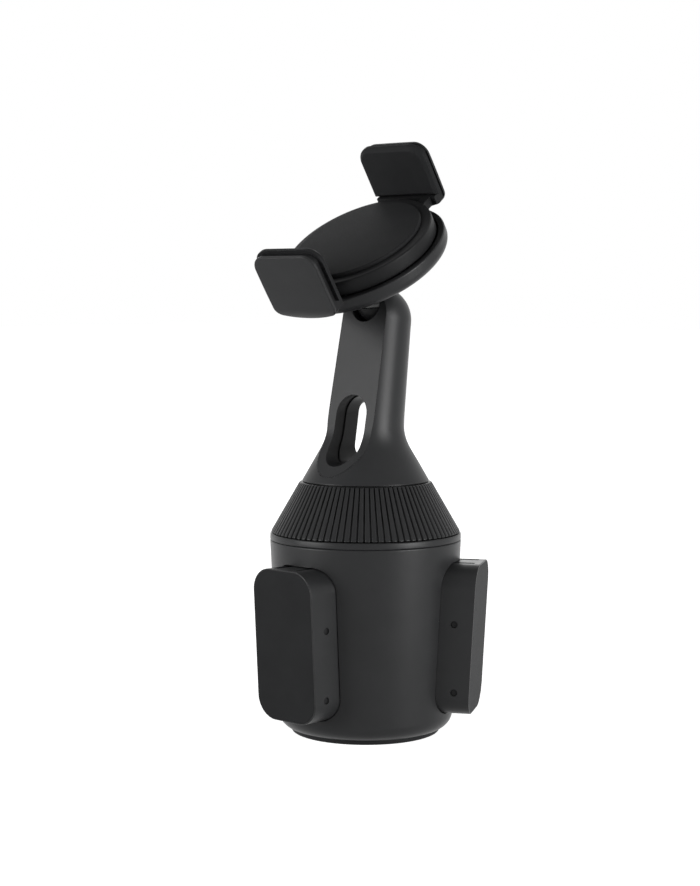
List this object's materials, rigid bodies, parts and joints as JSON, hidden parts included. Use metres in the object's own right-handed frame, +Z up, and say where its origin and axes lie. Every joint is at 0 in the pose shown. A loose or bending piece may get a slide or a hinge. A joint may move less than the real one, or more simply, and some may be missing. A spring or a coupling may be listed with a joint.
{
  "type": "phone mount",
  "caption": "Car phone mount that stands in a cup holder: cup with spreading wings, ribbed twist ring, leaning neck with a cable slot, and a tilting cradle with two gripping jaws.",
  "frame": {"origin": "centre of the foot's underside", "axes": "+Z up, -Y towards the front where the cable slot's panel is, +X to the right"},
  "size_m": [0.0803, 0.0741, 0.1944],
  "materials": {
    "shell": "satin dark grey",
    "ring_plastic": "satin dark grey, ribbed",
    "panel": "satin dark grey",
    "inner": "matt black",
    "ball_plastic": "polished black",
    "washer_plastic": "natural plastic",
    "foot_rubber": "matt black",
    "pad_rubber": "matt black",
    "screw_steel": "plated"
  },
  "bodies": {
    "base": {"base_cup": "shell", "base_foot": "foot_rubber", "base_deck": "shell", "guide_frame": "inner", "column_screw": "screw_steel", "thrust_washer": "washer_plastic", "neck_body": "shell", "neck_cover": "panel", "cover_screws": "screw_steel"},
    "ring": {"scroll_hub": "inner", "twist_ring": "ring_plastic", "ring_screws": "screw_steel"},
    "wing_front": {"wing_shell_front": "shell", "wing_pad_front": "pad_rubber", "wing_carrier_front": "inner", "wing_pins_front": "inner", "wing_follower_front": "screw_steel"},
    "wing_right": {"wing_shell_right": "shell", "wing_pad_right": "pad_rubber", "wing_carrier_right": "inner", "wing_pins_right": "inner", "wing_follower_right": "screw_steel"},
    "wing_left": {"wing_shell_left": "shell", "wing_pad_left": "pad_rubber", "wing_carrier_left": "inner", "wing_pins_left": "inner", "wing_follower_left": "screw_steel"},
    "seat": {"ball_seat": "inner"},
    "ball": {"ball_stud": "ball_plastic", "stud_retainer": "screw_steel", "stud_screw": "screw_steel"},
    "cradle": {"cradle_dish": "shell", "cradle_plate": "inner", "phone_pad": "pad_rubber", "cradle_screws": "screw_steel", "pinion_screw": "screw_steel", "pinion_washer": "screw_steel"},
    "jaw_front": {"jaw_arm_front": "inner", "jaw_shell_front": "panel", "jaw_liner_front": "pad_rubber"},
    "jaw_rear": {"jaw_arm_rear": "inner", "jaw_shell_rear": "panel", "jaw_liner_rear": "pad_rubber"},
    "pinion": {"jaw_pinion": "washer_plastic"}
  },
  "joints": [
    {"name": "ring_turn", "type": "hinge", "parent": "base", "child": "ring", "pos_m": [0, 0, 0], "axis": [0, 0, 1], "range_deg": [-80, 40]},
    {"name": "wing_front_slide", "type": "slide", "parent": "base", "child": "wing_front", "axis": [-0.0523, -0.9986, 0], "range_m": [-0.00801, 0.00401]},
    {"name": "wing_right_slide", "type": "slide", "parent": "base", "child": "wing_right", "axis": [0.891, 0.454, 0], "range_m": [-0.00801, 0.00401]},
    {"name": "wing_left_slide", "type": "slide", "parent": "base", "child": "wing_left", "axis": [-0.8387, 0.5446, 0], "range_m": [-0.00801, 0.00401]},
    {"name": "cradle_tilt", "type": "hinge", "parent": "base", "child": "seat", "pos_m": [0, 0.00671, 0.14117], "axis": [1, 0, 0], "range_deg": [-30, 40]},
    {"name": "cradle_lean", "type": "hinge", "parent": "seat", "child": "ball", "pos_m": [0, 0.00671, 0.14117], "axis": [0, 0.8251, 0.565], "range_deg": [-12, 12]},
    {"name": "cradle_spin", "type": "hinge", "parent": "ball", "child": "cradle", "pos_m": [0, 0.00671, 0.14117], "axis": [0, -0.565, 0.8251], "continuous": true},
    {"name": "jaw_front_slide", "type": "slide", "parent": "cradle", "child": "jaw_front", "axis": [0, -0.8251, -0.565], "range_m": [-0.003, 0.011]},
    {"name": "jaw_rear_slide", "type": "slide", "parent": "cradle", "child": "jaw_rear", "axis": [0, 0.8251, 0.565], "range_m": [-0.00301, 0.01101]},
    {"name": "pinion_turn", "type": "hinge", "parent": "cradle", "child": "pinion", "pos_m": [0, 0.00869, 0.14253], "axis": [0, -0.565, 0.8251], "range_deg": [-29.2, 105.5]}
  ],
  "couplings": [
    {"joint": "wing_front_slide", "follows": "ring_turn", "m_per_rad": 0.0057296},
    {"joint": "wing_right_slide", "follows": "ring_turn", "m_per_rad": 0.0057296},
    {"joint": "wing_left_slide", "follows": "ring_turn", "m_per_rad": 0.0057296},
    {"joint": "jaw_rear_slide", "follows": "jaw_front_slide", "ratio": 1},
    {"joint": "pinion_turn", "follows": "jaw_front_slide", "rad_per_m": 166.67}
  ]
}
